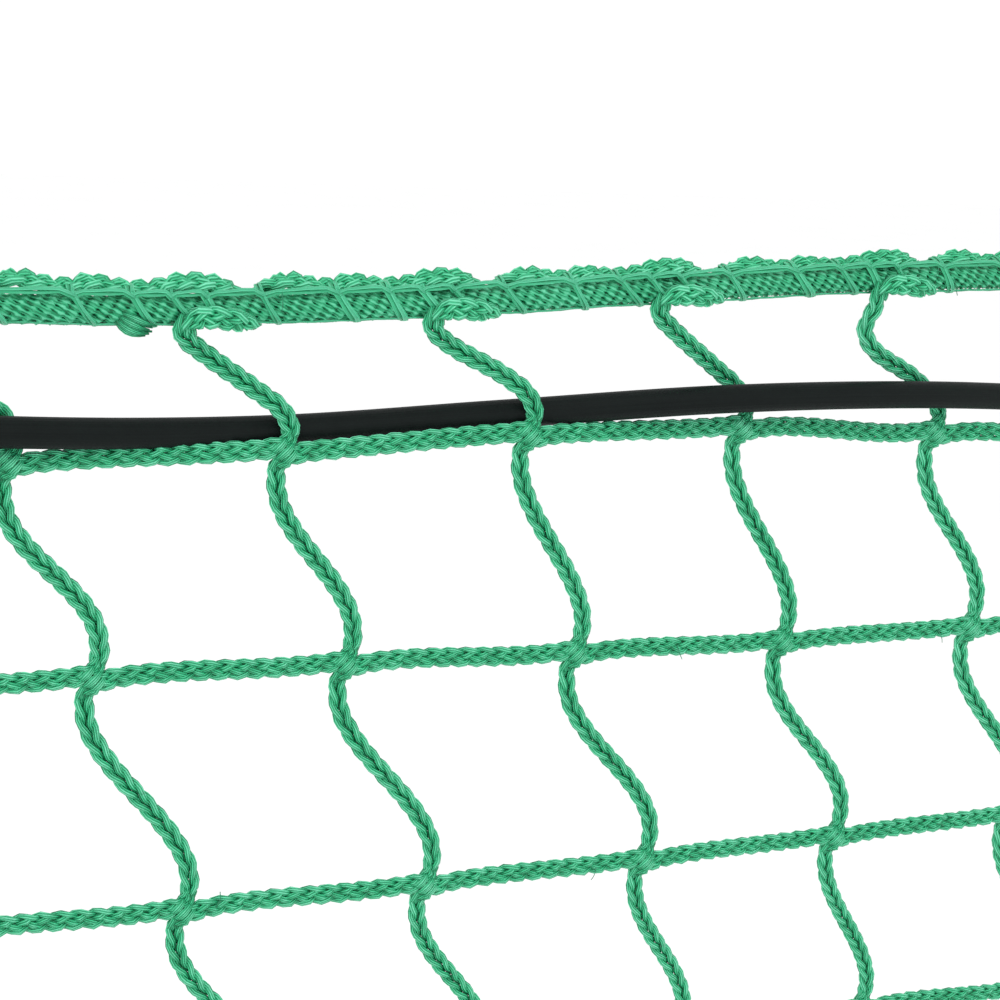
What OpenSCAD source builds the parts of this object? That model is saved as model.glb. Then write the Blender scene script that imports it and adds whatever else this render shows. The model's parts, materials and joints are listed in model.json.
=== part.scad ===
// Cargo climbing net: knotless square-mesh netting bound into an edge rope,
// with an elastic cord threaded once round through the outermost meshes.
// The net hangs in the XZ plane from its top edge rope, whose axis is the X axis.
// Each mesh row is a body of its own, and folds about the row cord above it.

/* [Mesh] */
// Spacing of the columns, and length of a full mesh leg
mesh = 45; // [40:1:60]
// Number of meshes across
columns = 20; // [12:2:24]
// Radius of a mesh cord
cord_r = 1.9; // [1.5:0.1:2.4]
// Free length of the legs beside the top and bottom edge ropes
edge_leg = 34; // [30:1:40]

/* [Edge] */
// Radius of the edge rope
rope_r = 2.5; // [2:0.1:3]
// Radius of the outermost mesh cord, squeezed against the edge rope
selvedge_r = 1.5; // [1.2:0.1:2]
// Thickness of the binding twine
twine_t = 0.45; // [0.3:0.05:0.6]
// Width of one wrap of the binding twine
wrap_w = 1.4; // [1:0.1:2]

/* [Elastic] */
// Radius of the elastic cord
elastic_r = 2.6; // [2.4:0.1:3]
// Distance from the side edge ropes to the elastic cord
elastic_inset = 20; // [16:1:24]
// Length of the ferrule that joins the ends of the elastic cord
ferrule_length = 22; // [16:1:24]
// Outer radius of the ferrule
ferrule_r = 3.8; // [3.6:0.1:4.4]

/* [Hidden] */
$fn = 32;

// How far each mesh row leans to +X from its top to its bottom
LEAN = [20, 13, 17, 12, 9, 6, 4, 2, 1, 0, 0, 0, 0];
ROWS = len(LEAN);
ROUTE_FIRST = 2;                // first row whose side elastic is a node of its own
ROUTE_LAST = ROWS - 1;          // last such row

hinge_gap = 0.7;                // from a row cord's surface to a leg that folds about it
joint_bite = 1.2;               // how far a leg is knitted into the row cord below it
twine_gap = 0.05;               // between a wrap and what it binds
rest_gap = 0.4;                 // between the elastic cord and the cord it rests on
weave = elastic_r + cord_r + 1;     // depth at which the elastic passes a mesh cord
elastic_trim = 3.2;             // from a fold line to the end of a side elastic segment
corner_r = 8;                   // bend radius of the elastic at a corner
corner_trim = 8;                // from the first fold line to the side elastic below it
run_step = mesh / 3;            // spacing of the rings along an elastic run
bend_step = 18;                 // angle between the rings round a corner bend
run_sides = 8;                  // sides of an elastic run's tube
wraps_per_mesh = 2;

width = columns * mesh;
pair = rope_r + selvedge_r + twine_gap;     // rope centre to selvedge centre
pair_back = 1.2;                            // how far the selvedge sits behind the rope
pair_out = sqrt(pair * pair - pair_back * pair_back);
wrap_r = (2 * rope_r + 2 * selvedge_r + twine_gap) / 2 + twine_gap;
wrap_share = (wrap_r - twine_gap - rope_r) / pair;

function leg_length(r) = (r == 1 || r == ROWS) ? edge_leg : mesh;
function drop(r) = sqrt(pow(leg_length(r), 2) - pow(LEAN[r - 1], 2));
function shift_x(r) = r == 0 ? 0 : shift_x(r - 1) + LEAN[r - 1];
function row_z(r) = r == 0 ? 0 : row_z(r - 1) - drop(r);
function column_x(c) = (c - columns / 2) * mesh;
// Distance along X from a side edge rope to the selvedge beside it, in row r
function selvedge_x(r) = pair_out * leg_length(r) / drop(r);
function knot(r, x, y = 0) = [x + shift_x(r), y, row_z(r)];

// +1 where the elastic passes behind column or row number n, -1 where it passes in front
function behind(n) = floor((n + 1) / 2) % 2 == 1 ? 1 : -1;
// Depth of a side elastic at row cord r; side is -1 at the left and +1 at the right
function side_depth(r, side) = -side * behind(r) * weave;
// Depth of an elastic run at a place u along it, in meshes from the left edge rope
function run_depth(u, sign) =
    let (a = max(1, min(columns - 1, floor(u))), b = max(1, min(columns - 1, ceil(u))))
    let (t = (1 - cos(180 * (u - floor(u)))) / 2)
    sign * weave * (behind(a) * (1 - t) + behind(b) * t);

top_run_z = row_z(1) + cord_r + rest_gap + elastic_r;
bottom_run_z = row_z(ROWS) + rope_r + rest_gap + elastic_r;
run_half = width / 2 - elastic_inset - corner_r;
run_rings = ceil(2 * run_half / run_step);

function two_digits(n) = str(n < 10 ? "0" : "", n);
function named(word, first, last) = [for (n = [first:last]) str(word, "_", two_digits(n))];

// A straight round bar from a to b
module bar(a, b, r) {
    v = b - a;
    length = norm(v);
    translate(a)
        rotate([0, acos(v[2] / length), atan2(v[1], v[0])])
            cylinder(h = length, r = r);
}

// A leg of row r at x, from just under the cord above it to inside the cord below it
module leg(r, x, y, bar_r) {
    a = knot(r - 1, x, y);
    b = knot(r, x, y);
    along = (b - a) / norm(b - a);
    steep = -along[2];
    top = line_r(r - 1) + hinge_gap + bar_r * abs(along[0]);
    bottom = line_r(r) - joint_bite;
    bar(a + along * top / steep, b - along * bottom / steep, bar_r);
}

// The cord radius that a leg meets at row line r: an edge rope at the top and bottom
function line_r(r) = (r == 0 || r == ROWS) ? rope_r : cord_r;

// The binding twine's wrap round the edge rope and the selvedge beside it, along +X.
// out is the direction from the rope to the selvedge, across the edge.
module wrap() {
    translate([-wrap_w / 2, 0, 0])
        rotate([0, 90, 0])
            difference() {
                cylinder(h = wrap_w, r = wrap_r + twine_t);
                translate([0, 0, -1]) cylinder(h = wrap_w + 2, r = wrap_r);
            }
}

module edge_rope(r) {
    color("seagreen")
        bar(knot(r, -width / 2 - rope_r), knot(r, width / 2 + rope_r), rope_r);
}

module edge_binding(r, out) {
    pitch = mesh / wraps_per_mesh;
    color("mediumseagreen")
        for (n = [0:columns * wraps_per_mesh - 1])
            translate(knot(r, -width / 2 + (n + 0.5) * pitch))
                translate([0, pair_back, out * pair_out] * wrap_share)
                    wrap();
}

// A mesh cord that runs across the net. The first and last are the selvedges on the edge ropes.
module mesh_row(r) {
    edge = r == 0 || r == ROWS;
    out = r == 0 ? 1 : -1;
    half = width / 2 + (edge ? pair_out : selvedge_x(r)) + selvedge_r;
    offset_yz = edge ? [0, pair_back, out * pair_out] : [0, 0, 0];
    color("seagreen")
        bar(knot(r, -half) + offset_yz, knot(r, half) + offset_yz, edge ? selvedge_r : cord_r);
}

// The mesh legs of one row, with the selvedge leg beside each side edge rope
module mesh_legs(r) {
    color("seagreen") {
        for (c = [1:columns - 1])
            leg(r, column_x(c), 0, cord_r);
        for (side = [-1, 1])
            leg(r, side * (width / 2 + selvedge_x(r)), pair_back, selvedge_r);
    }
}

// The left and right edge ropes beside one row, with their wraps
module side_edges(r) {
    for (side = [-1, 1]) {
        x = side * width / 2;
        a = knot(r - 1, x);
        b = knot(r, x);
        tilt = atan2(b[0] - a[0], a[2] - b[2]);
        color("seagreen") leg(r, x, 0, rope_r);
        color("mediumseagreen")
            for (n = [0:wraps_per_mesh - 1]) {
                share = (n + 0.75) / (wraps_per_mesh + 0.5);
                translate(a + (b - a) * share)
                    rotate([0, 90 - tilt, 0])
                        translate([0, pair_back * wrap_share, side * pair_out * wrap_share])
                            wrap();
            }
    }
}

// The elastic cord beside both side edge ropes in one row
module side_elastic(r) {
    color([0.1, 0.1, 0.1])
        for (side = [-1, 1]) {
            x = side * (width / 2 - elastic_inset);
            a = knot(r - 1, x, side_depth(r - 1, side));
            b = knot(r, x, side_depth(r, side));
            along = (b - a) / norm(b - a);
            steep = -along[2];
            top = r == ROUTE_FIRST ? corner_trim : elastic_trim;
            bar(a + along * top / steep, b - along * elastic_trim / steep, elastic_r);
        }
}

// A round tube through a list of points, none of whose steps runs along Y
module tube(points, r) {
    n = len(points);
    k = run_sides;
    function direction(i) =
        let (v = points[min(n - 1, i + 1)] - points[max(0, i - 1)]) v / norm(v);
    function ring(i) =
        let (d = direction(i), v = cross([0, 1, 0], d), side = v / norm(v), top = cross(d, side))
        [for (j = [0:k - 1]) points[i] + r * (side * cos(360 * j / k) + top * sin(360 * j / k))];
    polyhedron(
        points = [for (i = [0:n - 1]) each ring(i)],
        faces = concat(
            [[for (j = [0:k - 1]) j]],
            [for (i = [0:n - 2], j = [0:k - 1])
                [i * k + j, (i + 1) * k + j, (i + 1) * k + (j + 1) % k, i * k + (j + 1) % k]],
            [[for (j = [k - 1:-1:0]) (n - 1) * k + j]]
        )
    );
}

// How far to +X the legs at height z of the first row stand from the places of their lower ends
function lag(z) = z > row_z(1) ? LEAN[0] * (z / row_z(1) - 1) : 0;

// Points of an elastic run from left to right, between the corner bends, at height z under row line r
function run_points(r, z, sign) =
    [for (i = [0:run_rings])
        let (x = -run_half + 2 * run_half * i / run_rings)
        [x + shift_x(r), run_depth((x + width / 2 - lag(z)) / mesh, sign), z]];

// Points of the bend at one end of a run, from the run to the side; turn is +1 up and -1 down
function bend_points(r, y, z, side, turn) =
    [for (a = [bend_step:bend_step:90])
        [side * (run_half + corner_r * sin(a)) + shift_x(r), y, z + turn * corner_r * (1 - cos(a))]];

function reversed(points) = [for (i = [len(points) - 1:-1:0]) points[i]];

module elastic_top_run() {
    color([0.1, 0.1, 0.1])
        tube(concat(
            reversed(bend_points(1, side_depth(1, -1), top_run_z, -1, -1)),
            run_points(1, top_run_z, 1),
            bend_points(1, side_depth(1, 1), top_run_z, 1, -1)
        ), elastic_r);
}

module elastic_bottom_run() {
    function side_top(side) = [[
        side * (width / 2 - elastic_inset) + shift_x(ROWS),
        side_depth(ROWS - 1, side),
        row_z(ROWS - 1) - elastic_trim
    ]];
    color([0.1, 0.1, 0.1])
        tube(concat(
            side_top(-1),
            reversed(bend_points(ROWS, side_depth(ROWS - 1, -1), bottom_run_z, -1, 1)),
            run_points(ROWS, bottom_run_z, -1),
            bend_points(ROWS, side_depth(ROWS - 1, 1), bottom_run_z, 1, 1),
            side_top(1)
        ), elastic_r);
}

// The metal ferrule pressed round the two meeting ends of the elastic, in the middle of the bottom run
module elastic_ferrule() {
    x = column_x(columns / 2) - mesh / 2 + shift_x(ROWS);
    color("silver")
        translate([x - ferrule_length / 2, -behind(columns / 2) * weave, bottom_run_z])
            rotate([0, 90, 0])
                difference() {
                    cylinder(h = ferrule_length, r = ferrule_r);
                    translate([0, 0, -1]) cylinder(h = ferrule_length + 2, r = elastic_r);
                }
}

edge_rope(0);  // top_edge_rope
edge_binding(0, 1);  // top_edge_binding
edge_rope(ROWS);  // bottom_edge_rope
edge_binding(ROWS, -1);  // bottom_edge_binding
elastic_top_run();
elastic_bottom_run();
elastic_ferrule();
for (r = [0:ROWS])
    mesh_row(r);
for (r = [1:ROWS]) {
    mesh_legs(r);
    side_edges(r);
}
for (r = [ROUTE_FIRST:ROUTE_LAST])
    side_elastic(r);
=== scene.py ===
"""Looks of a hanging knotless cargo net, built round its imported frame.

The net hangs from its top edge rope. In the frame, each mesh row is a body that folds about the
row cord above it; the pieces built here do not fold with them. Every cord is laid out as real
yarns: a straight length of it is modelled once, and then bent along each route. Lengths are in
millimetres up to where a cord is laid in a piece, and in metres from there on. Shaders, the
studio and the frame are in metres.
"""

from __future__ import annotations

import json
import logging
import math
import random
from dataclasses import dataclass, field
from enum import Enum
from typing import Callable, Sequence

import bmesh
import bpy
import numpy as np
from mathutils import Matrix, Vector

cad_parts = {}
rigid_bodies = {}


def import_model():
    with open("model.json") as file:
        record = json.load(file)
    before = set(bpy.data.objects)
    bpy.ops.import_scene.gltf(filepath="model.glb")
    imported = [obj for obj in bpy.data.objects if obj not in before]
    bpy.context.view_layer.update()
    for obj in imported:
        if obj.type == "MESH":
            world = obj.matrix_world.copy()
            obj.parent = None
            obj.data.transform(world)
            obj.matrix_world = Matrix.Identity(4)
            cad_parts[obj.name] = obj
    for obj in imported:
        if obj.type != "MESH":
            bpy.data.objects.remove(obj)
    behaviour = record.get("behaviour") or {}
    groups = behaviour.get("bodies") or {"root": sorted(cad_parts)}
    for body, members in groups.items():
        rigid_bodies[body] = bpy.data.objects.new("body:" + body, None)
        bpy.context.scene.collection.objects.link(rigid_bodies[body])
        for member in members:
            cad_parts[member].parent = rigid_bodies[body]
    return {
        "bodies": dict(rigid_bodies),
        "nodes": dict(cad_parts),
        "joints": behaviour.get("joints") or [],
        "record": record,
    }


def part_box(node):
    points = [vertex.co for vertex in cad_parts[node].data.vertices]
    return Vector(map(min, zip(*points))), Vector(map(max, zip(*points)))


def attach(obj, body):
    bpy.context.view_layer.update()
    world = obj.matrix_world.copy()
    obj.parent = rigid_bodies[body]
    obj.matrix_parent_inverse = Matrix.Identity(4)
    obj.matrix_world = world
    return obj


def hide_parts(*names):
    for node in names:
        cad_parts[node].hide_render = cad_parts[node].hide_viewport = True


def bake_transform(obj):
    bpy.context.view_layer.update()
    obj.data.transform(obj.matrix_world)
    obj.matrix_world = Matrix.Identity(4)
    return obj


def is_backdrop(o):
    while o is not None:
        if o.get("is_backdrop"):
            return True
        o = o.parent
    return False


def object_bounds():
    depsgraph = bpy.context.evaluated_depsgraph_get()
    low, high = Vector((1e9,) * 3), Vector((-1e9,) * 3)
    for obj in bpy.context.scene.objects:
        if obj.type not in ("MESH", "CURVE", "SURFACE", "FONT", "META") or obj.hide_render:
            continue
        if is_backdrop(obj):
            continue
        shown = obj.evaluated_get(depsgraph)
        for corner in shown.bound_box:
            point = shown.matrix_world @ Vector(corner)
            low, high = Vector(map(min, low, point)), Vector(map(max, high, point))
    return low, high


LOG = logging.getLogger("cargo_net")

MM = 0.001
COLUMNS = 20
# Sides of a yarn, and of a flat ribbon
YARN_SIDES, RIBBON_SIDES = 5, 6
# Fewest lobes that show along the edge of a plait or a pair
LEAST_LOBES = 6
# How much further along its pattern each yarn of a cord is than the one before it
YARN_SHIFT = 45.0
# How far below the top edge rope join_at_fold's above and below reach at the top row line; they bend
# nothing, and the rope itself stays rigid
BELOW_TOP_ROPE = (-4.0, 15.0)

FRONT = np.array([0.0, -1.0, 0.0])
RIGHT = np.array([1.0, 0.0, 0.0])
UP = np.array([0.0, 0.0, 1.0])

Colour = tuple[float, float, float]
Offset = tuple[float, float, float]


class Slot(Enum):
    """The frame's material slots."""

    NETTING = "netting_twine"
    ROPE = "edge_rope"
    BINDING = "binding_twine"
    ELASTIC = "elastic_cover"
    FERRULE = "ferrule_metal"


class Part(Enum):
    """Which stretch of a straight cord a mesh holds."""

    WHOLE = (0.0, 1.0)
    FIRST_HALF = (0.0, 0.5)
    SECOND_HALF = (0.5, 1.0)


def unit(vector: np.ndarray) -> np.ndarray:
    """The vector at length 1."""
    return vector / np.linalg.norm(vector)


def smooth(share: np.ndarray | float) -> np.ndarray | float:
    """A share from 0 to 1, eased at both ends."""
    t = np.clip(share, 0.0, 1.0)
    return t * t * (3.0 - 2.0 * t)


def mesh_of(bm: bmesh.types.BMesh, name: str) -> bpy.types.Mesh:
    """Makes a mesh of a bmesh, which is freed."""
    mesh = bpy.data.meshes.new(name)
    bm.to_mesh(mesh)
    bm.free()
    return mesh


def add_object(name: str, data: bpy.types.ID) -> bpy.types.Object:
    """Adds an object to the scene."""
    made = bpy.data.objects.new(name, data)
    bpy.context.scene.collection.objects.link(made)
    return made


# ---------------------------------------------------------------- shader maths


class Field:
    """A shader socket that takes part in Python expressions."""

    def __init__(self, tree: bpy.types.NodeTree, socket: bpy.types.NodeSocket) -> None:
        self.tree = tree
        self.socket = socket

    def _math(self, operation: str, *values: "Field | float") -> "Field":
        """A Math node on these values."""
        node = self.tree.nodes.new("ShaderNodeMath")
        node.operation = operation
        for slot, value in zip(node.inputs, values):
            if isinstance(value, Field):
                self.tree.links.new(value.socket, slot)
            else:
                slot.default_value = value
        return Field(self.tree, node.outputs[0])

    def __add__(self, other: "Field | float") -> "Field":
        """The sum."""
        return self._math("ADD", self, other)

    __radd__ = __add__

    def __sub__(self, other: "Field | float") -> "Field":
        """The difference."""
        return self._math("SUBTRACT", self, other)

    def __rsub__(self, other: float) -> "Field":
        """The difference from a number."""
        return self._math("SUBTRACT", other, self)

    def __mul__(self, other: "Field | float") -> "Field":
        """The product."""
        return self._math("MULTIPLY", self, other)

    __rmul__ = __mul__

    def clamped(self) -> "Field":
        """The value held between 0 and 1."""
        return self._math("MINIMUM", self._math("MAXIMUM", self, 0.0), 1.0)

    def ridge(self) -> "Field":
        """How high a row of rounded strands stands at this phase, with a groove at every pi."""
        return self._math("ABSOLUTE", self._math("SINE", self))

    def angle_from(self, other: "Field") -> "Field":
        """The angle whose sine and cosine go as this value and the other."""
        return self._math("ARCTAN2", self, other)


class Shader:
    """A material's node tree, with one Principled surface."""

    def __init__(self, name: str) -> None:
        self.material = bpy.data.materials.new(name)
        self.material.use_nodes = True
        self.tree = self.material.node_tree
        self.tree.nodes.clear()
        self.surface = self.tree.nodes.new("ShaderNodeBsdfPrincipled")
        output = self.tree.nodes.new("ShaderNodeOutputMaterial")
        self.tree.links.new(self.surface.outputs["BSDF"], output.inputs["Surface"])

    def node(self, kind: str, settings: dict[str, object], **values: object) -> bpy.types.Node:
        """Adds a node.

        Args:
            kind: the node's type.
            settings: its settings, set before its sockets.
            values: a number, colour or Field for each socket, with spaces written as underscores.

        Returns:
            The node.
        """
        node = self.tree.nodes.new(kind)
        for key, value in settings.items():
            setattr(node, key, value)
        self.fill(node, values)
        return node

    def fill(self, node: bpy.types.Node, values: dict[str, object]) -> None:
        """Sets or links a node's sockets, with spaces in their names written as underscores."""
        for key, value in values.items():
            socket = node.inputs[key.replace("_", " ")]
            if isinstance(value, Field):
                self.tree.links.new(value.socket, socket)
            else:
                socket.default_value = value

    def attribute(self, name: str, output: str) -> Field:
        """A mesh attribute's output."""
        node = self.node("ShaderNodeAttribute", {"attribute_name": name})
        return Field(self.tree, node.outputs[output])

    def parts(self, vector: Field) -> list[Field]:
        """A vector's three parts."""
        node = self.node("ShaderNodeSeparateXYZ", {}, Vector=vector)
        return [Field(self.tree, output) for output in node.outputs]

    def object_place(self) -> Field:
        """Object coordinates."""
        return Field(self.tree, self.node("ShaderNodeTexCoord", {}).outputs["Object"])

    def scaled(self, place: Field, *scale: float) -> Field:
        """The place with each axis scaled."""
        node = self.node("ShaderNodeMapping", {}, Vector=place, Scale=scale)
        return Field(self.tree, node.outputs["Vector"])

    def noise(self, place: Field, **values: float) -> Field:
        """Noise from 0 to 1 at that place, with values for the node's other sockets."""
        node = self.node("ShaderNodeTexNoise", {}, Vector=place, **values)
        return Field(self.tree, node.outputs["Fac"])

    def ramp(self, value: Field, stops: Sequence[tuple[float, Colour]]) -> Field:
        """A colour ramp over a value."""
        node = self.node("ShaderNodeValToRGB", {})
        elements = node.color_ramp.elements
        while len(elements) < len(stops):
            elements.new(0.5)
        for element, (position, colour) in zip(elements, stops):
            element.position = position
            element.color = (*colour, 1.0)
        self.tree.links.new(value.socket, node.inputs["Fac"])
        return Field(self.tree, node.outputs["Color"])

    def dress(self, **values: object) -> None:
        """Sets or links the surface's sockets, with spaces in their names written as underscores."""
        self.fill(self.surface, values)

    def bump(self, height: Field, distance: float) -> None:
        """Raises the surface by a height, over a distance in metres."""
        node = self.node("ShaderNodeBump", {}, Height=height, Distance=distance, Strength=1.0)
        self.tree.links.new(node.outputs["Normal"], self.surface.inputs["Normal"])


@dataclass(frozen=True)
class YarnFinish:
    """Polymer yarn of a few strands, each of many fine filaments that run along it, with painted
    shade in its hollows.
    """

    name: str
    shadow: Colour
    body: Colour
    light: Colour
    roughness: float = 0.33
    strands: int = 7
    twist: float = 3 * math.tau / YARN_SHIFT
    relief: float = 0.0004

    def build(self) -> bpy.types.Material:
        """Makes the material."""
        shader = Shader(self.name)
        place = shader.attribute("yarn_place", "Vector")
        outer = shader.attribute("outer", "Fac")
        x, y, s = shader.parts(place)
        ridge = (y.angle_from(x) * (self.strands / 2) + s * self.twist).ridge()
        filaments = shader.scaled(place, 5.0, 5.0, 0.5)
        fine = shader.noise(filaments, Scale=1.0, Detail=3.0, Roughness=0.6)
        patches = shader.noise(shader.object_place(), Scale=60.0, Detail=3.0)
        # Painted shade: the tone falls towards a cord's middle (outer) and into the grooves between
        # strands (ridge); the filament and patch noise is the yarn's own tone
        tone = outer * 0.7 + ridge * 0.34 + fine * 0.3 + patches * 0.3 - 0.66
        # The shadow stop is painted shade, and the light stop is partly a painted highlight on the
        # cords' outsides and the strands' crests
        stops = ((0.05, self.shadow), (0.45, self.body), (0.9, self.light))
        shader.dress(
            Base_Color=shader.ramp(tone.clamped(), stops),
            Roughness=(self.roughness + 0.3 * (1.0 - fine)).clamped(),
            Specular_IOR_Level=0.45,
        )
        shader.bump(ridge * 0.75 + fine * 0.25, self.relief)
        return shader.material


@dataclass(frozen=True)
class ElasticFinish:
    """Tight black braided cover over rubber: nearly smooth, with faint lines along it."""

    name: str
    shadow: Colour = (0.0022, 0.0036, 0.0036)
    body: Colour = (0.0055, 0.0085, 0.008)
    light: Colour = (0.014, 0.02, 0.019)
    relief: float = 0.00008

    def build(self) -> bpy.types.Material:
        """Makes the material."""
        shader = Shader(self.name)
        place = shader.attribute("yarn_place", "Vector")
        ribs = shader.noise(shader.scaled(place, 5.0, 5.0, 0.02), Scale=1.0, Detail=2.0)
        weave = shader.noise(shader.scaled(place, 22.0, 22.0, 2.2), Scale=1.0, Detail=1.0)
        dust = shader.noise(shader.object_place(), Scale=260.0, Detail=4.0, Roughness=0.7)
        tone = ribs * 0.5 + dust * 0.35 + weave * 0.15
        stops = ((0.25, self.shadow), (0.6, self.body), (0.85, self.light))
        shader.dress(
            Base_Color=shader.ramp(tone, stops),
            Roughness=(0.42 + 0.2 * dust).clamped(),
            Specular_IOR_Level=0.1,
        )
        shader.bump(ribs * 0.7 + weave * 0.3, self.relief)
        return shader.material


@dataclass(frozen=True)
class MetalFinish:
    """Pressed plated steel with light drawing lines and a little grime."""

    name: str
    dull: Colour = (0.30, 0.30, 0.29)
    body: Colour = (0.52, 0.52, 0.51)
    bright: Colour = (0.68, 0.68, 0.67)
    relief: float = 0.00003

    def build(self) -> bpy.types.Material:
        """Makes the material."""
        shader = Shader(self.name)
        place = shader.object_place()
        lines = shader.noise(shader.scaled(place, 40.0, 1800.0, 1800.0), Scale=1.0, Detail=3.0)
        grime = shader.noise(place, Scale=240.0, Detail=4.0, Roughness=0.6)
        stops = ((0.3, self.dull), (0.6, self.body), (0.8, self.bright))
        shader.dress(
            Base_Color=shader.ramp(lines * 0.5 + grime * 0.5, stops),
            Metallic=1.0,
            Roughness=(0.28 + 0.3 * grime).clamped(),
        )
        shader.bump(lines, self.relief)
        return shader.material


@dataclass(frozen=True)
class FloorFinish:
    """Plain pale studio floor."""

    name: str
    darkest: Colour = (0.93, 0.93, 0.93)
    lightest: Colour = (0.96, 0.96, 0.96)

    def build(self) -> bpy.types.Material:
        """Makes the material."""
        shader = Shader(self.name)
        tone = shader.noise(shader.object_place(), Scale=3.0, Detail=2.0)
        stops = ((0.0, self.darkest), (1.0, self.lightest))
        shader.dress(
            Base_Color=shader.ramp(tone, stops), Roughness=0.9, Specular_IOR_Level=0.1
        )
        return shader.material


# ---------------------------------------------------------------- routes


def distances(points: np.ndarray) -> np.ndarray:
    """How far along a chain of points each of them is."""
    return np.concatenate([[0.0], np.cumsum(np.linalg.norm(np.diff(points, axis=0), axis=1))])


def sized(rows: np.ndarray) -> np.ndarray:
    """The rows, each at length 1."""
    return rows / np.linalg.norm(rows, axis=1)[:, None]


class Route:
    """A smooth line through points, with the way that the front of what lies along it faces."""

    STEP = 0.5

    def __init__(
        self,
        points: Sequence[np.ndarray],
        facings: Sequence[np.ndarray] | np.ndarray = FRONT,
        start: np.ndarray | None = None,
        end: np.ndarray | None = None,
    ) -> None:
        """Lays the line.

        Args:
            points: places that the line passes through.
            facings: one direction for the whole line, or one for each point.
            start: direction in which the line sets out, if it matters.
            end: direction in which the line arrives, if it matters.
        """
        knots = np.asarray(points, float)
        sides = np.broadcast_to(np.asarray(facings, float), knots.shape)
        place = distances(knots)
        chords = sized(np.diff(knots, axis=0))
        slope = sized(np.concatenate([chords[:1], chords[1:] + chords[:-1], chords[-1:]]))
        if start is not None:
            slope[0] = unit(start)
        if end is not None:
            slope[-1] = unit(end)
        fine = np.linspace(0.0, place[-1], max(4, int(place[-1] / self.STEP)) + 1)
        low = np.clip(np.searchsorted(place, fine, side="right") - 1, 0, len(place) - 2)
        span = (place[low + 1] - place[low])[:, None]
        t = ((fine - place[low])[:, None]) / span
        self.line = (
            (2 * t**3 - 3 * t**2 + 1) * knots[low]
            + (t**3 - 2 * t**2 + t) * span * slope[low]
            + (3 * t**2 - 2 * t**3) * knots[low + 1]
            + (t**3 - t**2) * span * slope[low + 1]
        )
        self.along = distances(self.line)
        self.length = float(self.along[-1])
        tangent = np.gradient(self.line, self.along, axis=0)
        if start is not None:
            tangent[0] = unit(start)
        if end is not None:
            tangent[-1] = unit(end)
        tangent = sized(tangent)
        eased = sides[low] * (1 - smooth(t)) + sides[low + 1] * smooth(t)
        self.side = sized(np.cross(eased, tangent))
        self.face = np.cross(tangent, self.side)

    def bend(self, places: np.ndarray, length: float, stretch: tuple[float, float]) -> np.ndarray:
        """Bends a straight cord along the route.

        Args:
            places: points of the cord, which runs along X from 0, with its front towards +Z.
            length: the straight cord's length, which is fitted to the stretch.
            stretch: shares of the route between which the cord lies.

        Returns:
            The bent points.
        """
        first, last = stretch
        s = self.length * (first + (last - first) * places[:, 0] / length)
        line, side, face = (
            np.stack([np.interp(s, self.along, row) for row in part.T], axis=1)
            for part in (self.line, self.side, self.face)
        )
        over = (s - np.clip(s, 0.0, self.length))[:, None]
        return line + side * places[:, 1:2] + face * places[:, 2:3] + np.cross(side, face) * over


# ---------------------------------------------------------------- straight cords


@dataclass(frozen=True)
class Yarn:
    """One yarn of a straight cord: its place across the cord, and its radii, at a distance."""

    across: Callable[[float], tuple[float, float]]
    radius: Callable[[float], tuple[float, float]]


def straight(_: float) -> tuple[float, float]:
    """The place of a yarn that runs along the middle of its cord."""
    return 0.0, 0.0


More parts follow.
